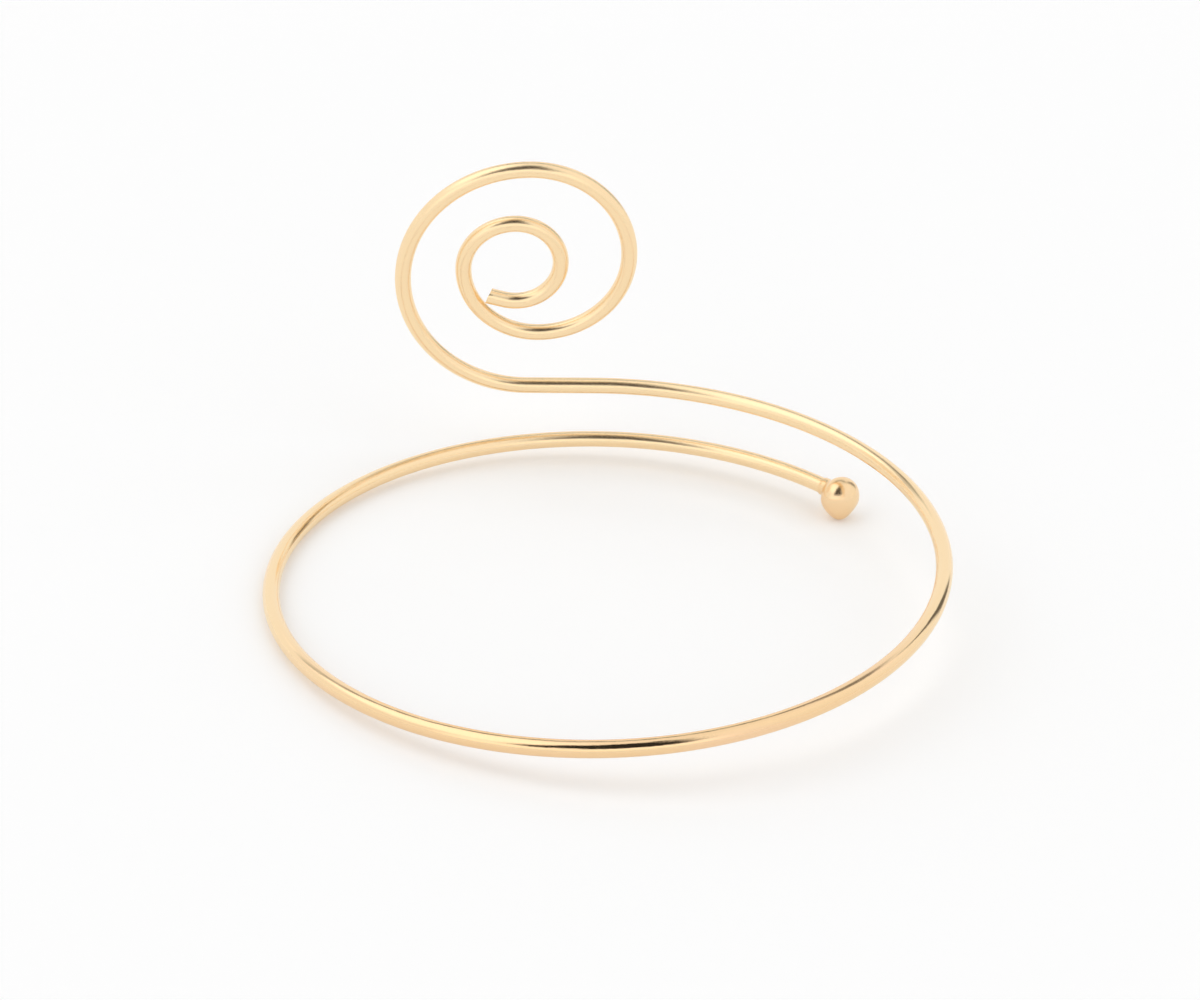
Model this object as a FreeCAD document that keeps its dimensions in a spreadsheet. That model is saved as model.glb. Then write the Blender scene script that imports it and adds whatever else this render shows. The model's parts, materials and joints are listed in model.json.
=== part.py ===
import FreeCAD, Part
from collections import namedtuple
import math
import os
import Sketcher

# Upper arm cuff: one round wire goes once round the arm and rises into an upright scroll.
# A small ball closes its lower end. The cuff lies on its side, on the ball and the ring.

# Driving dimensions, in millimetres and degrees
SIZES = [
    ("wire_width", 2.05, "diameter of the round wire"),
    ("ring_radius", 40.0, "from the ring's axis to the middle of the wire"),
    ("ring_pitch", 7.77, "rise of the ring in one full turn"),
    ("ring_sweep", 408.45, "angle that the ring goes round, from the wire's lower end to the scroll"),
    ("scroll_run", 8.48, "straight wire between the ring and the scroll"),
    ("scroll_lean", 7.01, "lean of the scroll's top towards the ring's axis"),
    ("first_quarter", 16.0, "bend radius of the scroll's 1st quarter turn"),
    ("second_quarter", 15.95, "bend radius of the 2nd quarter turn"),
    ("third_quarter", 12.48, "bend radius of the 3rd quarter turn"),
    ("fourth_quarter", 11.33, "bend radius of the 4th quarter turn"),
    ("fifth_quarter", 9.5, "bend radius of the 5th quarter turn"),
    ("sixth_quarter", 6.53, "bend radius of the 6th quarter turn"),
    ("seventh_quarter", 5.7, "bend radius of the 7th quarter turn"),
    ("eighth_quarter", 5.62, "bend radius of the 8th quarter turn"),
    ("tip_bend", 5.62, "bend radius of the last bend, up to the tip's straight wire"),
    ("tip_sweep", 15.2, "angle of the last bend"),
    ("tip_run", 2.22, "straight wire at the tip, up to its longest point"),
    ("tip_slant", 14.5, "slant of the tip's cut, away from a square cut"),
    ("tip_roll", 69.4, "roll of the slant about the wire, from the scroll's plane to its front"),
    ("ball_width", 5.4, "diameter of the ball across the wire"),
    ("ball_length", 4.5, "length of the ball along the wire"),
    ("ball_end_radius", 3.1, "rounding of the ball's two ends, flatter than a sphere's"),
    ("ball_drop", 0.48, "height of the wire's middle above the ball's"),
    ("ball_reach", 2.83, "from the collar's mouth to the ball's middle"),
    ("collar_width", 2.35, "diameter of the collar that holds the wire"),
    ("collar_fillet", 0.5, "rounding between the collar and the ball"),
    ("bore_gap", 0.03, "gap all round the wire in the ball"),
    ("bore_depth", 1.6, "depth of the hole in the ball"),
    ("wire_depth", 1.5, "wire held in that hole"),
    ("rest_turn", 2.5, "turn of the cuff about the ring's axis, as it lies"),
    ("rest_roll", 1.478, "tilt of the ring's axis about X, as it lies"),
    ("rest_pitch", -3.68, "tilt of the ring's axis about Y, as it lies"),
    ("rest_x", 0.0, "place of the scroll's foot on the ring's axis: seat_on_floor works it out"),
    ("rest_y", 0.0, "the same along Y"),
    ("rest_z", 0.0, "the same along Z"),
]

PARTS_FOLDER = "parts"

# The ring is bent as equal arcs. Each lies in a plane of its own, and together they climb as a coil.
RING_ARCS = 9

# Expressions on the sheet that more than one object uses
SLOPE = "atan(Sizes.ring_pitch / (2 * pi * Sizes.ring_radius)) / 1 deg"
ARC_SWEEP = f"Sizes.ring_sweep / {RING_ARCS}"
ARC_ROLL = f"{ARC_SWEEP} * sin({SLOPE} * 1 deg)"
WIRE_RADIUS = "Sizes.wire_width / 2"
COLLAR_MOUTH = "Sizes.wire_depth / 2"

# One bend of the wire: how far the wire runs straight before it, how far its plane rolls
# about the wire from the bend before, its radius and its sweep, each an expression
Bend = namedtuple("Bend", "name run roll radius sweep")


def bend_schedule():
    """Every bend of the wire, from its lower end round the ring and in to the scroll's tip."""
    bends = []
    for arc in range(RING_ARCS):
        # The planes lie evenly about the ring, so the first arc has rolled by half a step only
        roll = f"{ARC_ROLL} / 2" if arc == 0 else ARC_ROLL
        radius = f"Sizes.ring_radius / cos({SLOPE} * 1 deg) ^ 2"
        sweep = f"{ARC_SWEEP} * cos({SLOPE} * 1 deg)"
        bends.append(Bend(f"ring_arc_{arc + 1}", "0", roll, radius, sweep))
    quarters = [alias for alias, value, words in SIZES if alias.endswith("_quarter")]
    # The wire rolls up out of the ring's plane, all but the scroll's lean
    run = "Sizes.scroll_run"
    roll = f"90 - Sizes.scroll_lean + {ARC_ROLL} / 2"
    for alias in quarters:
        bends.append(Bend(alias, run, roll, f"Sizes.{alias}", "90"))
        run = "0"
        roll = "0"
    bends.append(Bend("tip_bend", "0", "0", "Sizes.tip_bend", "Sizes.tip_sweep"))
    return bends


def moved(x="0", y="0", z="0"):
    """The expression for a move with no turn."""
    return f"placement(vector({x}; {y}; {z}); rotation(vector(0; 0; 1); 0))"


def turned(axis, angle):
    """The expression for a turn about one axis, such as Z."""
    direction = {"X": "1; 0; 0", "Y": "0; 1; 0", "Z": "0; 0; 1"}[axis]
    return f"placement(vector(0; 0; 0); rotation(vector({direction}); {angle}))"


def make_sheet(doc):
    """The driving dimensions, each in a cell with an alias."""
    sheet = doc.addObject("Spreadsheet::Sheet", "Sizes")
    for row, (alias, value, words) in enumerate(SIZES, start=1):
        sheet.set(f"A{row}", alias)
        sheet.set(f"B{row}", str(value))
        sheet.set(f"C{row}", words)
        sheet.setAlias(f"B{row}", alias)
    doc.recompute()
    return sheet


def make_primitive(doc, kind, name, place, sizes):
    """A Part primitive whose place and sizes are expressions."""
    item = doc.addObject(f"Part::{kind}", name)
    for size, expression in sizes.items():
        item.setExpression(size, expression)
    item.setExpression("Placement", place)
    return item


def make_arm_wire(doc):
    """The whole wire, with the ring's axis along Z and the scroll's foot on +Y at height 0.

    A frame walks along the wire: its X points away from the bend's middle and its Y along the wire."""
    below = "-Sizes.ring_pitch * Sizes.ring_sweep / 360"
    frame = " * ".join([
        moved(z=below),
        turned("Z", "90 - Sizes.ring_sweep"),
        moved(x="Sizes.ring_radius"),
        turned("X", SLOPE),
    ])
    pieces = []

    def add_run(name, place, run):
        sizes = {"Radius": WIRE_RADIUS, "Height": run}
        pieces.append(make_primitive(doc, "Cylinder", name, f"{place} * {turned('X', '-90')}", sizes))
        return f"{place} * {moved(y=run)}"

    for bend in bend_schedule():
        if bend.run != "0":
            frame = add_run(f"run_to_{bend.name}", frame, bend.run)
        middle = f"{frame} * {turned('Y', bend.roll)} * {moved(x=f'-({bend.radius})')}"
        sizes = {"Radius1": bend.radius, "Radius2": WIRE_RADIUS, "Angle3": bend.sweep}
        piece = make_primitive(doc, "Torus", bend.name, middle, sizes)
        pieces.append(piece)
        frame = f"{piece.Name}.Placement * {turned('Z', bend.sweep)} * {moved(x=bend.radius)}"
    frame = add_run("run_to_tip", frame, "Sizes.tip_run")

    # A block slants the tip's end: it turns about the longest point of the wire's edge
    reach = "2 * Sizes.wire_width"
    block_place = " * ".join([
        frame,
        turned("Y", "Sizes.tip_roll"),
        moved(x=WIRE_RADIUS),
        turned("Z", "Sizes.tip_slant"),
        moved(x=f"-({reach})", z="-Sizes.wire_width"),
    ])
    block_sizes = {"Length": reach, "Width": WIRE_RADIUS, "Height": reach}
    block = make_primitive(doc, "Box", "tip_block", block_place, block_sizes)
    tip = doc.addObject("Part::Cut", "slanted_tip")
    tip.Base = pieces.pop()
    tip.Tool = block

    wire = doc.addObject("Part::MultiFuse", "arm_wire")
    wire.Label = "arm_wire"
    wire.Shapes = [*pieces, tip]

    wire.setExpression("Placement", " * ".join([
        moved("Sizes.rest_x", "Sizes.rest_y", "Sizes.rest_z"),
        turned("Y", "Sizes.rest_pitch"),
        turned("X", "Sizes.rest_roll"),
        turned("Z", "Sizes.rest_turn"),
    ]))
    return wire


def origin_part(body, role):
    """One of the body's own origin planes or axes."""
    return next(item for item in body.Origin.OriginFeatures if item.Role == role)


def make_sketch(body, name, role):
    """An empty sketch on one of the body's own origin planes."""
    sketch = body.newObject("Sketcher::SketchObject", name)
    sketch.AttachmentSupport = [(origin_part(body, role), "")]
    sketch.MapMode = "FlatFace"
    return sketch


def bind(sketch, constraint, expression):
    """Adds a sized constraint, and ties its size to the sheet."""
    index = sketch.addConstraint(constraint)
    sketch.setExpression(f"Constraints[{index}]", expression)


def mouth_circle(body, name, diameter):
    """A circle about the wire's middle, at the collar's mouth."""
    sketch = make_sketch(body, name, "XZ_Plane")
    sketch.setExpression("AttachmentOffset.Base.z", f"-({COLLAR_MOUTH})")
    sketch.addGeometry(Part.Circle(FreeCAD.Vector(0, 0, 0), FreeCAD.Vector(0, 0, 1), 1), False)
    sketch.addConstraint(Sketcher.Constraint("Coincident", 0, 3, -1, 1))
    bind(sketch, Sketcher.Constraint("Diameter", 0, 2), diameter)
    return sketch


def ball_profile(body, sheet):
    """Half of the ball's outline: an end arc, the belt's arc and the other end arc, all tangent."""
    profile = make_sketch(body, "ball_profile", "YZ_Plane")
    profile.setExpression("AttachmentOffset.Base.y", "-Sizes.ball_drop")
    middle = sheet.wire_depth / 2 - sheet.ball_reach
    half_length = sheet.ball_length / 2
    half_width = sheet.ball_width / 2
    end_radius = sheet.ball_end_radius
    inset = end_radius - half_length
    belt_radius = (end_radius**2 - inset**2 - half_width**2) / (2 * (end_radius - half_width))
    turn = math.atan2(half_width - belt_radius, inset)

    def arc(x, y, radius, first, last):
        circle = Part.Circle(FreeCAD.Vector(x, y, 0), FreeCAD.Vector(0, 0, 1), radius)
        return profile.addGeometry(Part.ArcOfCircle(circle, first, last), False)

    near_end = arc(middle - inset, 0, end_radius, 0, turn)
    belt = arc(middle, half_width - belt_radius, belt_radius, turn, math.pi - turn)
    far_end = arc(middle + inset, 0, end_radius, math.pi - turn, math.pi)
    near_pole = FreeCAD.Vector(middle + half_length, 0, 0)
    far_pole = FreeCAD.Vector(middle - half_length, 0, 0)
    up = FreeCAD.Vector(0, half_width, 0)
    axis = profile.addGeometry(Part.LineSegment(far_pole, near_pole), False)
    top = profile.addGeometry(Part.LineSegment(far_pole + up, near_pole + up), True)

    for kind, *places in [
        ("Tangent", near_end, 2, belt, 1),
        ("Tangent", belt, 2, far_end, 1),
        ("PointOnObject", near_end, 3, -1),
        ("PointOnObject", far_end, 3, -1),
        ("PointOnObject", near_end, 1, -1),
        ("PointOnObject", far_end, 2, -1),
        ("Coincident", axis, 1, far_end, 2),
        ("Coincident", axis, 2, near_end, 1),
        ("Equal", near_end, far_end),
        ("Vertical", top, 1, far_end, 2),
        ("Vertical", top, 2, near_end, 1),
        ("Horizontal", top),
        ("Tangent", belt, top),
    ]:
        profile.addConstraint(Sketcher.Constraint(kind, *places))
    bind(profile, Sketcher.Constraint("Radius", near_end, end_radius), "Sizes.ball_end_radius")
    bind(profile, Sketcher.Constraint("Distance", axis, 2 * half_length), "Sizes.ball_length")
    bind(profile, Sketcher.Constraint("DistanceY", -1, 1, top, 1, half_width), "Sizes.ball_width / 2")
    reach = f"Sizes.ball_reach - {COLLAR_MOUTH}"
    bind(profile, Sketcher.Constraint("DistanceX", belt, 3, -1, 1, -middle), reach)
    return profile


def seam_edges(collar, width):
    """The edges where the collar runs into the ball: as wide as the collar, but not flat."""
    names = []
    for index, edge in enumerate(collar.Shape.Edges, start=1):
        box = edge.optimalBoundingBox()
        as_wide = abs(box.XLength - width) < 0.01 and abs(box.ZLength - width) < 0.01
        if as_wide and box.YLength > 0.01:
            names.append(f"Edge{index}")
    return names


def make_ball_tip(doc, sheet):
    """The ball on the wire's lower end, with the middle of the held wire at the origin.

    The wire comes in along -Y, into a blind hole in a short collar."""
    body = doc.addObject("PartDesign::Body", "ball_tip")
    body.Label = "ball_tip"

    ball = body.newObject("PartDesign::Revolution", "ball")
    profile = ball_profile(body, sheet)
    ball.Profile = profile
    ball.ReferenceAxis = (profile, ["H_Axis"])
    ball.Angle = 360

    collar = body.newObject("PartDesign::Pad", "collar")
    collar.Profile = mouth_circle(body, "collar_section", "Sizes.collar_width")
    collar.setExpression("Length", "Sizes.bore_depth")
    doc.recompute()

    seam = body.newObject("PartDesign::Fillet", "collar_seam")
    seam.Base = (collar, seam_edges(collar, sheet.collar_width))
    seam.setExpression("Radius", "Sizes.collar_fillet")

    bore = body.newObject("PartDesign::Pocket", "bore")
    bore.Profile = mouth_circle(body, "bore_section", "Sizes.wire_width + 2 * Sizes.bore_gap")
    bore.Reversed = True
    bore.setExpression("Length", "Sizes.bore_depth")

    # Up the first arc of the ring, by half of the stretch that the ball holds
    radius = "ring_arc_1.Radius1"
    up_the_wire = turned("Z", f"{COLLAR_MOUTH} / ({radius}) * 180 / pi")
    body.setExpression("Placement", " * ".join([
        "arm_wire.Placement",
        "ring_arc_1.Placement",
        up_the_wire,
        moved(x=radius),
    ]))
    return body


def seat_on_floor(doc, sheet, pieces):
    """Moves the whole cuff until its lowest point is at height 0, under the middle of its box."""
    box = FreeCAD.BoundBox()
    for piece in pieces:
        box.add(piece.Shape.optimalBoundingBox(False, False))
    sheet.set(sheet.getCellFromAlias("rest_x"), str(sheet.rest_x - box.Center.x))
    sheet.set(sheet.getCellFromAlias("rest_y"), str(sheet.rest_y - box.Center.y))
    sheet.set(sheet.getCellFromAlias("rest_z"), str(sheet.rest_z - box.ZMin))
    doc.recompute()


def check_document(doc, pieces):
    """Stops the script at the first object or shape that failed."""
    for item in doc.Objects:
        if "Invalid" in item.State or "Error" in item.State:
            raise RuntimeError(f"{item.Label} failed: {item.getStatusString()}")
    for piece in pieces:
        if piece.Shape.isNull() or not piece.Shape.isValid() or len(piece.Shape.Solids) != 1:
            raise RuntimeError(f"{piece.Label} is not one valid solid")
    for cut, uncut in (("slanted_tip", "run_to_tip"), ("bore", "collar_seam")):
        if doc.getObject(cut).Shape.Volume >= doc.getObject(uncut).Shape.Volume:
            raise RuntimeError(f"{cut} took nothing away")


def main():
    doc = FreeCAD.newDocument("arm_cuff")
    sheet = make_sheet(doc)
    pieces = [make_arm_wire(doc), make_ball_tip(doc, sheet)]
    doc.recompute()
    seat_on_floor(doc, sheet, pieces)
    check_document(doc, pieces)
    os.makedirs(PARTS_FOLDER, exist_ok=True)
    for piece in pieces:
        piece.Shape.exportStep(os.path.join(PARTS_FOLDER, f"{piece.Label}.step"))
        print(f"{piece.Label}: {piece.Shape.Volume:.1f} mm3, {piece.Shape.BoundBox}")


main()
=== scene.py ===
import json
import math

import bpy
from mathutils import Matrix, Vector

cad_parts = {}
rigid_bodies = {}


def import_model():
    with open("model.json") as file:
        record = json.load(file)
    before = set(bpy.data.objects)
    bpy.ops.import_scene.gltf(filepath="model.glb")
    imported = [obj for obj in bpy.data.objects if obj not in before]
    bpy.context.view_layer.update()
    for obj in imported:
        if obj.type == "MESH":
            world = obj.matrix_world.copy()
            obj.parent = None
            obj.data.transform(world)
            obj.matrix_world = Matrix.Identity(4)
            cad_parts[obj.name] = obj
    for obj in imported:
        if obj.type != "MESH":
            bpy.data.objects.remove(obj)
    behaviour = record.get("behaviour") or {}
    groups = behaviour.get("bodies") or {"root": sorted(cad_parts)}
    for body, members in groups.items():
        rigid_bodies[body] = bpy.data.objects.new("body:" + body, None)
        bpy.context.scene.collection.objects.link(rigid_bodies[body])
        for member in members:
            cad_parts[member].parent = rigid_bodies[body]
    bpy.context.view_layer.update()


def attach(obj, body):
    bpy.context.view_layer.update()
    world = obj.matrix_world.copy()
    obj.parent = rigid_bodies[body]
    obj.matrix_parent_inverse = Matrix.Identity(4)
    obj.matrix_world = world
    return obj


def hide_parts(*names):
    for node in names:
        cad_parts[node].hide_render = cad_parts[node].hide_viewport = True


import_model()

# Upper arm cuff: one polished round wire, once round the arm and up into a flat scroll,
# with a small ball on its lower end. Lengths are in metres and angles in degrees.

MM = 0.001

# The wire and its bends, as in the part's source
WIRE_RADIUS = 1.025 * MM
RING_RADIUS = 40.0 * MM
RING_PITCH = 7.77 * MM
RING_SWEEP = 408.45
RING_ARCS = 9
SCROLL_RUN = 8.48 * MM
SCROLL_LEAN = 7.01
QUARTER_RADII = [radius * MM for radius in (16.0, 15.95, 12.48, 11.33, 9.5, 6.53, 5.7, 5.62)]
TIP_BEND = 5.62 * MM
TIP_SWEEP = 15.2
TIP_RUN = 2.22 * MM
TIP_SLANT = 14.5
TIP_ROLL = 69.4
SPARE_RUN = 0.4 * MM

# The ring climbs as a coil, bent in equal arcs with a plane each: the coil's slope in radians, and the arcs
SLOPE = math.atan(RING_PITCH / (math.tau * RING_RADIUS))
ARC_SWEEP = RING_SWEEP / RING_ARCS * math.cos(SLOPE)
ARC_ROLL = RING_SWEEP / RING_ARCS * math.sin(SLOPE)
ARC_RADIUS = RING_RADIUS / math.cos(SLOPE) ** 2

# The ball, in its own frame: the wire comes in along -Y, with its middle on the Y axis
BALL_RADIUS = 2.7 * MM
BALL_HALF_LENGTH = 2.25 * MM
BALL_DROP = 0.48 * MM
BALL_MIDDLE = -2.08 * MM
COLLAR_RADIUS = 1.175 * MM
COLLAR_FOOT = 0.3 * MM
COLLAR_MOUTH = 0.75 * MM
BORE_RADIUS = 1.055 * MM
BORE_DEPTH = 1.6 * MM

# The cap where the collar grows out: how far its middle is tipped up from the wire, and half its angle
CAP_LEAN = 10.24
CAP_ANGLE = 31.0

# The blunt point: its tilt to the front and to the right, where it starts, and how it is drawn out
POINT_TILT = 35.0
POINT_LEAN = 7.0
POINT_START = 0.9 * BALL_RADIUS
POINT_SCALE = (0.8, 0.8, 1.08)
POINT_REACH = 2.8 * MM

# Rounding of the rims
TIP_RIM = 0.05 * MM
LOWER_RIM = 0.06 * MM
MOUTH_RIM = 0.03 * MM

# How the cuff lies: the point of the ring's axis level with the scroll's foot, and its tilts and turn
REST_PLACE = Vector((-0.25765, -0.14761, 9.41746)) * MM
REST_PITCH = -3.68
REST_ROLL = 1.478
REST_TURN = 2.5

# How finely the meshes follow the round shapes
WIRE_ROUND = 48
BEND_STEPS = 26
TIP_BEND_STEPS = 5
SCROLL_RUN_STEPS = 6
TIP_RUN_STEPS = 3
BALL_ROUND = 64
BALL_RINGS = 32
HOLLOW_STEPS = 6
RIM_STEPS = 2

# Edges past these angles stay sharp, and places nearer than these lengths count as one
WIRE_SHARP = 15
BALL_SHARP = 50
TOUCHING = 1e-6
DOUBLED = 1e-7

FLOOR_SIZE = 4.0


def turned(axis, degrees):
    return Matrix.Rotation(math.radians(degrees), 4, axis)


def moved(x=0.0, y=0.0, z=0.0):
    return Matrix.Translation((x, y, z))


AT_REST = (
    Matrix.Translation(REST_PLACE)
    @ turned("Y", REST_PITCH) @ turned("X", REST_ROLL) @ turned("Z", REST_TURN)
)


# Camera, at the photograph's angle

def place_camera():
    bpy.ops.object.camera_add(
        location=(-0.013046, -0.354017, 0.195517),
        rotation=(math.radians(62.838), math.radians(-3.611), math.radians(-0.036)),
    )
    camera = bpy.context.object
    camera.name = "camera"
    camera.data.lens = 101.1
    camera.data.sensor_width = 36.0
    camera.data.clip_start = 0.01
    camera.data.clip_end = 20.0
    bpy.context.scene.camera = camera


place_camera()


# Modelling helpers

def only(piece):
    """Nothing is selected but this piece, and it is the active one."""
    bpy.ops.object.select_all(action="DESELECT")
    piece.select_set(True)
    bpy.context.view_layer.objects.active = piece


def edit(piece):
    only(piece)
    bpy.ops.object.mode_set(mode="EDIT")
    bpy.ops.mesh.select_mode(type="VERT")


def leave():
    bpy.ops.object.mode_set(mode="OBJECT")


def settle(piece):
    """The piece's place goes into its mesh, and its object goes to the origin."""
    only(piece)
    bpy.ops.object.transform_apply(location=True, rotation=True, scale=True)


def pick(piece, wanted):
    """Selects the vertices that a test on their place says, and nothing else."""
    bpy.ops.mesh.select_mode(type="VERT")
    bpy.ops.mesh.select_all(action="DESELECT")
    leave()
    for vertex in piece.data.vertices:
        vertex.select = wanted(vertex.co)
    for edge in piece.data.edges:
        edge.select = all(piece.data.vertices[i].select for i in edge.vertices)
    for face in piece.data.polygons:
        face.select = all(piece.data.vertices[i].select for i in face.vertices)
    bpy.ops.object.mode_set(mode="EDIT")


def finish_mesh(piece, sharp):
    """Faces outwards, no doubles, smooth but for the sharp edges."""
    edit(piece)
    bpy.ops.mesh.select_all(action="SELECT")
    bpy.ops.mesh.remove_doubles(threshold=DOUBLED)
    bpy.ops.mesh.normals_make_consistent(inside=False)
    leave()
    only(piece)
    bpy.ops.object.shade_smooth_by_angle(angle=math.radians(sharp))


# The arm wire

def ring_start():
    """The frame at the wire's lower end: X away from the ring's middle, Y along the wire."""
    below = -RING_PITCH * RING_SWEEP / 360
    return (
        AT_REST @ moved(z=below) @ turned("Z", 90 - RING_SWEEP)
        @ moved(x=RING_RADIUS) @ turned("X", math.degrees(SLOPE))
    )


def wire_bends():
    """Run before the bend, roll, radius, sweep and steps of each bend, from the lower end to the tip."""
    bends = []
    for number in range(RING_ARCS):
        roll = ARC_ROLL / 2 if number == 0 else ARC_ROLL
        bends.append((0.0, roll, ARC_RADIUS, ARC_SWEEP, BEND_STEPS))
    scroll_roll = 90 - SCROLL_LEAN + ARC_ROLL / 2
    bends.append((SCROLL_RUN, scroll_roll, QUARTER_RADII[0], 90.0, BEND_STEPS))
    for radius in QUARTER_RADII[1:]:
        bends.append((0.0, 0.0, radius, 90.0, BEND_STEPS))
    bends.append((0.0, 0.0, TIP_BEND, TIP_SWEEP, TIP_BEND_STEPS))
    return bends


def draw_on(place, run, parts, lengths):
    """Extrudes the wire straight on, in equal parts."""
    step = place.to_3x3() @ Vector((0, run / parts, 0))
    for part in range(parts):
        bpy.ops.mesh.extrude_region_move(TRANSFORM_OT_translate={"value": step})
        lengths.append(lengths[-1] + run / parts)
    return place @ moved(y=run)


def bend_wire():
    """The whole wire, bent as the real one is, from a circle at its lower end.

    Gives the wire, the frame at its tip, and the length drawn up to each ring of vertices."""
    here = ring_start()
    start = here @ turned("X", -90)
    bpy.ops.object.select_all(action="DESELECT")
    bpy.ops.mesh.primitive_circle_add(
        vertices=WIRE_ROUND, radius=WIRE_RADIUS, fill_type="NOTHING",
        location=start.to_translation(), rotation=start.to_euler(),
    )
    wire = bpy.context.object
    wire.name = "bent_wire"
    settle(wire)
    edit(wire)
    bpy.ops.mesh.select_all(action="SELECT")
    lengths = [0.0]
    for run, roll, radius, sweep, steps in wire_bends():
        if run:
            here = draw_on(here, run, SCROLL_RUN_STEPS, lengths)
        middle = here @ turned("Y", roll) @ moved(x=-radius)
        bpy.ops.mesh.spin(
            steps=steps, angle=-math.radians(sweep), use_auto_merge=False,
            center=middle.to_translation(), axis=middle.to_3x3() @ Vector((0, 0, 1)),
        )
        for step in range(steps):
            lengths.append(lengths[-1] + radius * math.radians(sweep) / steps)
        here = middle @ turned("Z", sweep) @ moved(x=radius)
    tip = draw_on(here, TIP_RUN, TIP_RUN_STEPS, lengths)
    # A little more wire than there will be, for the slanted cut
    draw_on(tip, SPARE_RUN, 1, lengths)
    leave()
    return wire, tip, lengths


def cut_tip(wire, tip):
    """The tip is nipped off on the slant, and its rim is a little rounded.

    The last ring drawn is still selected. The selection grows over the tip's own run,
    and only that is cut."""
    edit(wire)
    for ring in range(TIP_RUN_STEPS + 1):
        bpy.ops.mesh.select_more()
    cut = tip @ turned("Y", TIP_ROLL) @ moved(x=WIRE_RADIUS) @ turned("Z", TIP_SLANT)
    bpy.ops.mesh.bisect(
        plane_co=cut.to_translation(), plane_no=cut.to_3x3() @ Vector((0, 1, 0)),
        use_fill=True, clear_outer=True,
    )
    bpy.ops.mesh.bevel(offset=TIP_RIM, segments=RIM_STEPS, affect="EDGES")
    leave()


def keep_drawn_places(wire, lengths):
    """Keeps, at each vertex, where it was on the straight drawn wire: across, across and along.

    This comes before the cut, while the vertices are still in the order they were drawn in, ring by ring."""
    drawn = wire.data.attributes.new("drawn", "FLOAT_VECTOR", "POINT")
    for number, place in enumerate(drawn.data):
        turn = math.tau * (number % WIRE_ROUND) / WIRE_ROUND
        across = Vector((math.cos(turn), math.sin(turn))) * WIRE_RADIUS
        place.vector = (across.x, across.y, lengths[number // WIRE_ROUND])


def close_lower_end(wire):
    """The lower end, hidden in the ball, is a flat disc."""
    to_start = ring_start().inverted()

    def on_end(place):
        near = to_start @ place
        return near.xz.length < 2 * WIRE_RADIUS and abs(near.y) < TOUCHING

    edit(wire)
    pick(wire, on_end)
    bpy.ops.mesh.edge_face_add()
    bpy.ops.mesh.bevel(offset=LOWER_RIM, segments=RIM_STEPS, affect="EDGES")
    leave()


def make_wire():
    wire, tip, lengths = bend_wire()
    keep_drawn_places(wire, lengths)
    cut_tip(wire, tip)
    close_lower_end(wire)
    finish_mesh(wire, WIRE_SHARP)
    return wire


# The ball on the lower end

def ball_frame():
    """The frame at the middle of the held wire: the wire comes in along -Y."""
    middle = ring_start() @ turned("Y", ARC_ROLL / 2) @ moved(x=-ARC_RADIUS)
    return middle @ turned("Z", math.degrees(COLLAR_MOUTH / ARC_RADIUS)) @ moved(x=ARC_RADIUS)


def open_ball():
    """A flattened sphere, with the cap opened where the collar grows out of it."""
    lean = math.radians(CAP_LEAN)
    bpy.ops.object.select_all(action="DESELECT")
    bpy.ops.mesh.primitive_uv_sphere_add(
        segments=BALL_ROUND, ring_count=BALL_RINGS, radius=1.0, rotation=(lean - math.pi / 2, 0, 0),
    )
    ball = bpy.context.object
    ball.name = "cemented_ball"
    settle(ball)
    edit(ball)
    pole = Vector((0, math.cos(lean), math.sin(lean)))
    pick(ball, lambda place: place.angle(pole) < math.radians(CAP_ANGLE))
    bpy.ops.mesh.delete(type="VERT")
    leave()
    only(ball)
    size = (BALL_RADIUS, BALL_HALF_LENGTH, BALL_RADIUS)
    bpy.ops.transform.resize(value=size, center_override=(0, 0, 0))
    bpy.ops.transform.translate(value=(0, BALL_MIDDLE, -BALL_DROP))
    settle(ball)
    return ball


def make_collar():
    """A ring on the wire's axis, drawn up to its mouth, in over the rim and down to the hole's floor."""
    bpy.ops.object.select_all(action="DESELECT")
    bpy.ops.mesh.primitive_circle_add(
        vertices=BALL_ROUND, radius=COLLAR_RADIUS, fill_type="NOTHING",
        location=(0, COLLAR_FOOT, 0), rotation=(-math.pi / 2, 0, 0),
    )
    collar = bpy.context.object
    settle(collar)
    edit(collar)
    bpy.ops.mesh.select_all(action="SELECT")
    rise = (0, COLLAR_MOUTH - COLLAR_FOOT, 0)
    bpy.ops.mesh.extrude_region_move(TRANSFORM_OT_translate={"value": rise})
    bpy.ops.mesh.extrude_region_move()
    thin = BORE_RADIUS / COLLAR_RADIUS
    bpy.ops.transform.resize(value=(thin, 1, thin), center_override=(0, 0, 0))
    bpy.ops.mesh.extrude_region_move(TRANSFORM_OT_translate={"value": (0, -BORE_DEPTH, 0)})
    bpy.ops.mesh.edge_face_add()
    leave()
    return collar


def join_collar(ball, collar):
    """The two open rims are bridged in a soft hollow, and the mouth's edges are eased."""
    only(ball)
    collar.select_set(True)
    bpy.ops.object.join()
    edit(ball)
    bpy.ops.mesh.select_all(action="DESELECT")
    bpy.ops.mesh.select_non_manifold(
        extend=False, use_wire=False, use_multi_face=False, use_non_contiguous=False, use_verts=False,
    )
    bpy.ops.mesh.bridge_edge_loops(number_cuts=HOLLOW_STEPS, interpolation="SURFACE", smoothness=1.0)
    pick(ball, lambda place: abs(place.y - COLLAR_MOUTH) < TOUCHING)
    bpy.ops.mesh.bevel(offset=MOUTH_RIM, segments=RIM_STEPS, affect="EDGES")
    leave()


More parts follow.
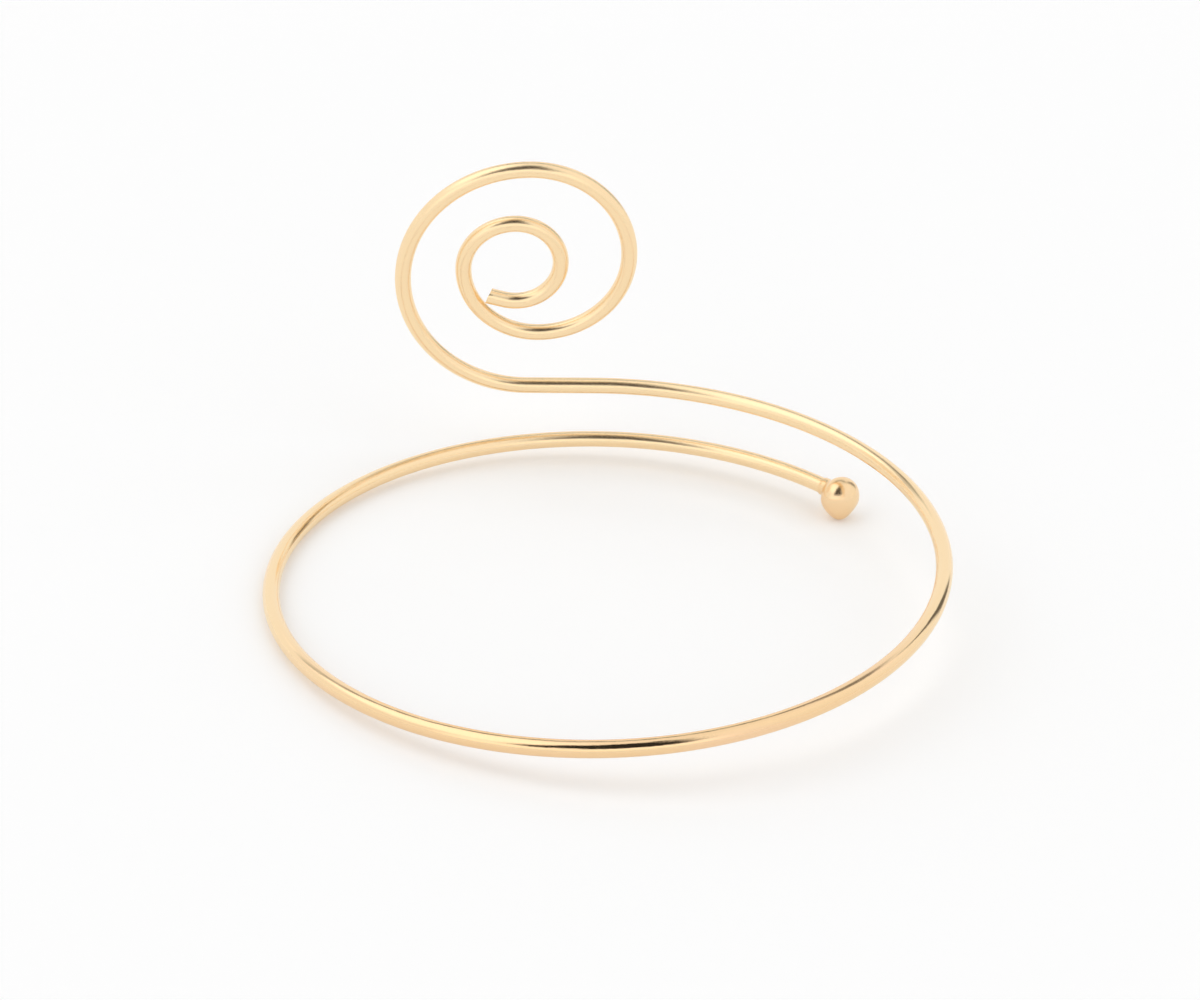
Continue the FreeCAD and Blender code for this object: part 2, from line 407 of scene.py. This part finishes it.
def draw_out_point(ball):
    """Underneath, the ball is drawn out into a blunt point, down, to the front and a little to the right."""
    middle = ball_frame() @ Vector((0, BALL_MIDDLE, -BALL_DROP))
    tipped = turned("Y", POINT_LEAN) @ turned("X", POINT_TILT) @ Matrix.Translation(-middle)
    ball.matrix_world = tipped
    settle(ball)
    edit(ball)
    pick(ball, lambda place: place.z < -POINT_START)
    bpy.ops.transform.resize(
        value=POINT_SCALE, center_override=(0, 0, 0), use_proportional_edit=True,
        proportional_edit_falloff="SMOOTH", proportional_size=POINT_REACH,
    )
    leave()
    ball.matrix_world = tipped.inverted()
    settle(ball)


def make_ball():
    ball = open_ball()
    join_collar(ball, make_collar())
    ball.matrix_world = ball_frame()
    settle(ball)
    draw_out_point(ball)
    finish_mesh(ball, BALL_SHARP)
    return ball


wire = make_wire()
ball = make_ball()
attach(wire, "root")
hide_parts("arm_wire")
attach(ball, "root")
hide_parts("ball_tip")


# Finishes

class Value:
    """A node's output that takes part in Python sums."""

    def __init__(self, nodes, socket):
        self.nodes = nodes
        self.socket = socket

    def __add__(self, other):
        return self.nodes.maths("ADD", self, other)

    def __radd__(self, other):
        return self.nodes.maths("ADD", other, self)

    def __sub__(self, other):
        return self.nodes.maths("SUBTRACT", self, other)

    def __rsub__(self, other):
        return self.nodes.maths("SUBTRACT", other, self)

    def __mul__(self, other):
        return self.nodes.maths("MULTIPLY", self, other)

    def __rmul__(self, other):
        return self.nodes.maths("MULTIPLY", other, self)

    def __neg__(self):
        return self.nodes.maths("MULTIPLY", self, -1.0)


class Nodes:
    """The nodes of one finish."""

    def __init__(self, owner):
        owner.use_nodes = True
        self.tree = owner.node_tree
        self.tree.nodes.clear()

    def make(self, kind, settings, inputs, output=0):
        """One node: its settings first, then the values or links of its sockets."""
        node = self.tree.nodes.new(kind)
        for name, value in settings.items():
            setattr(node, name, value)
        for name, value in inputs.items():
            if isinstance(value, Value):
                self.tree.links.new(value.socket, node.inputs[name])
            else:
                node.inputs[name].default_value = value
        return Value(self, node.outputs[output]) if node.outputs else None

    def maths(self, operation, *terms):
        return self.make("ShaderNodeMath", {"operation": operation}, dict(enumerate(terms)))

    def smooth(self, value, low, high):
        """0 below low, 1 above high, and an even S between them."""
        return self.make(
            "ShaderNodeMapRange", {"interpolation_type": "SMOOTHSTEP"},
            {"Value": value, "From Min": low, "From Max": high},
        )

    def within(self, value, rise, fall):
        """An even S from 0 up to 1 over the rise, and another back down over the fall."""
        return self.smooth(value, *rise) * (1 - self.smooth(value, *fall))

    def noise(self, place, scale, detail, rough=0.5):
        inputs = {"Vector": place, "Scale": scale, "Detail": detail, "Roughness": rough}
        return self.make("ShaderNodeTexNoise", {}, inputs)

    def scaled(self, place, scale):
        return self.make("ShaderNodeVectorMath", {"operation": "MULTIPLY"}, {0: place, 1: scale})

    def mix(self, share, first, second):
        """A share of the way between two colours. The node has sockets 6, 7 and 2 for colours."""
        inputs = {"Factor": share, 6: first, 7: second}
        return self.make("ShaderNodeMix", {"data_type": "RGBA"}, inputs, output=2)

    def parts(self, place):
        """The three parts of a place."""
        split = self.make("ShaderNodeSeparateXYZ", {}, {"Vector": place}).socket.node
        return [Value(self, socket) for socket in split.outputs]


GOLD = (0.900, 0.632, 0.352, 1.0)
BRIGHT_GOLD = (0.930, 0.664, 0.382, 1.0)
PEACHY_GOLD = (0.925, 0.640, 0.400, 1.0)
# Pale gold: the ball's own paler tone, and on the wire the colour of a painted sheen
PALE_GOLD_AND_PAINTED_SHEEN = (0.965, 0.745, 0.460, 1.0)
IN_MM = (1000.0, 1000.0, 1000.0)


def polished_gold(nodes, place, tint, polish, pallor_and_painted_sheen, lines, waves):
    """Pale gold plating: a slightly peachy cast in places, fine lines from drawing, and a soft polish.

    Place is in millimetres, and tint is the same place, scaled for the slow change of colour."""
    cast = nodes.smooth(nodes.noise(tint, 1.0, 1.0), 0.42, 0.66)
    cloud = nodes.noise(place, 1.6, 3.0)
    gold = nodes.mix(cloud, GOLD, BRIGHT_GOLD)
    peachy = nodes.mix(cast * 0.7, gold, PEACHY_GOLD)
    # Pallor blends toward pale gold. On the wire this is a painted sheen, lighter away from the very front.
    # On the ball it is the ball's own even, paler tone
    colour = nodes.mix(pallor_and_painted_sheen, peachy, PALE_GOLD_AND_PAINTED_SHEEN)
    rough = 0.22 - 0.16 * polish + 0.05 * lines + 0.02 * cloud
    height = lines * 0.012 + waves * 0.010
    bump = nodes.make("ShaderNodeBump", {}, {"Strength": 1.0, "Distance": MM, "Height": height})
    shader = nodes.make("ShaderNodeBsdfPrincipled", {}, {
        "Base Color": colour, "Metallic": 1.0, "Roughness": rough, "Normal": bump,
    })
    nodes.make("ShaderNodeOutputMaterial", {}, {"Surface": shader})


def wire_gold():
    """The plating on the drawn wire. Its patterns follow the wire, in millimetres along and across it."""
    material = bpy.data.materials.new("wire_gold")
    nodes = Nodes(material)
    drawn = nodes.make("ShaderNodeAttribute", {"attribute_name": "drawn"}, {}, output="Vector")
    place = nodes.scaled(drawn, IN_MM)
    # The drawing lines are 25 times as long as they are wide
    streaks = nodes.scaled(drawn, (1000.0, 1000.0, 40.0))
    along = nodes.parts(place)[2]
    lines = nodes.noise(streaks, 7.0, 3.0, 0.65)
    waves = nodes.noise(nodes.scaled(place, (0.35, 0.35, 0.22)), 1.0, 1.0)
    tint = nodes.scaled(place, (0.3, 0.3, 0.07))
    # The front half is polished brightest. Everywhere but the very front, the gold is painted paler as a
    # painted sheen, so it is deepest at the very front
    polish = nodes.within(along, (45.0, 95.0), (225.0, 265.0))
    front = nodes.within(along, (100.0, 145.0), (180.0, 215.0))
    polished_gold(nodes, place, tint, polish, 0.9 - 0.9 * front, lines, waves)
    return material


def ball_gold():
    """The plating on the ball, polished by hand."""
    material = bpy.data.materials.new("ball_gold")
    nodes = Nodes(material)
    here = nodes.make("ShaderNodeTexCoord", {}, {}, output="Object")
    place = nodes.scaled(here, IN_MM)
    lines = nodes.noise(nodes.scaled(place, (1.0, 0.3, 1.0)), 6.0, 3.0, 0.6)
    waves = nodes.noise(place, 0.5, 1.0)
    tint = nodes.scaled(place, (0.2, 0.2, 0.2))
    polished_gold(nodes, place, tint, 0.1, 0.35, lines, waves)
    return material


wire.data.materials.append(wire_gold())
ball.data.materials.append(ball_gold())


# The pale floor and the soft light of a white tent

def lay_floor():
    bpy.ops.object.select_all(action="DESELECT")
    bpy.ops.mesh.primitive_plane_add(size=FLOOR_SIZE)
    floor = bpy.context.object
    floor.name = "floor"
    material = bpy.data.materials.new("floor_white")
    nodes = Nodes(material)
    shader = nodes.make("ShaderNodeBsdfPrincipled", {}, {
        "Base Color": (0.93, 0.93, 0.93, 1.0), "Roughness": 0.9,
        "Emission Color": (1.0, 1.0, 1.0, 1.0), "Emission Strength": 0.12,
    })
    nodes.make("ShaderNodeOutputMaterial", {}, {"Surface": shader})
    floor.data.materials.append(material)


def hang_tent():
    """A white tent of uneven brightness, with a dark opening at the front, above the camera.

    Side is the angle round the cuff, 0 at the front and more to the right.
    Height is the angle above the floor."""
    world = bpy.data.worlds.new("tent")
    bpy.context.scene.world = world
    nodes = Nodes(world)
    x, y, z = nodes.parts(nodes.make("ShaderNodeTexCoord", {}, {}, output="Generated"))
    to_degrees = math.degrees(1)
    height = nodes.maths("ARCSINE", z) * to_degrees
    side = nodes.maths("ARCTAN2", x, -y) * to_degrees

    def between(value, low, high, soft):
        return nodes.within(value, (low - soft, low + soft), (high - soft, high + soft))

    opening = between(side, -35.0, 24.0, 5.0) * between(height, 29.0, 86.0, 4.0)
    low_front = between(side, -55.0, 34.0, 8.0) * between(height, 2.0, 30.0, 5.0)
    left_lamp = between(side, -150.0, -40.0, 8.0) * between(height, 34.0, 78.0, 8.0)
    right_lamp = between(side, 28.0, 120.0, 8.0) * between(height, 30.0, 78.0, 12.0)
    # The seam at the back is higher on the right than on the left
    back_seam = nodes.smooth(y + 0.2 * x, 0.34, 0.43) * between(height - 20.0 * x, 44.5, 55.5, 3.5)
    right_seam = between(side, 124.0, 138.0, 3.0) * between(height, 4.0, 44.0, 8.0)
    light = (
        1.0 + 0.25 * low_front + 0.42 * left_lamp + 0.05 * right_lamp
        - 1.05 * opening - 0.75 * back_seam - 0.85 * right_seam
    )
    darkest = 0.03
    strength = nodes.maths("MAXIMUM", light, darkest)
    background = nodes.make("ShaderNodeBackground", {}, {
        "Color": (1.0, 1.0, 1.0, 1.0), "Strength": strength,
    })
    nodes.make("ShaderNodeOutputWorld", {}, {"Surface": background})


lay_floor()
hang_tent()

scene = bpy.context.scene
scene.view_settings.view_transform = "Standard"
scene.view_settings.look = "None"
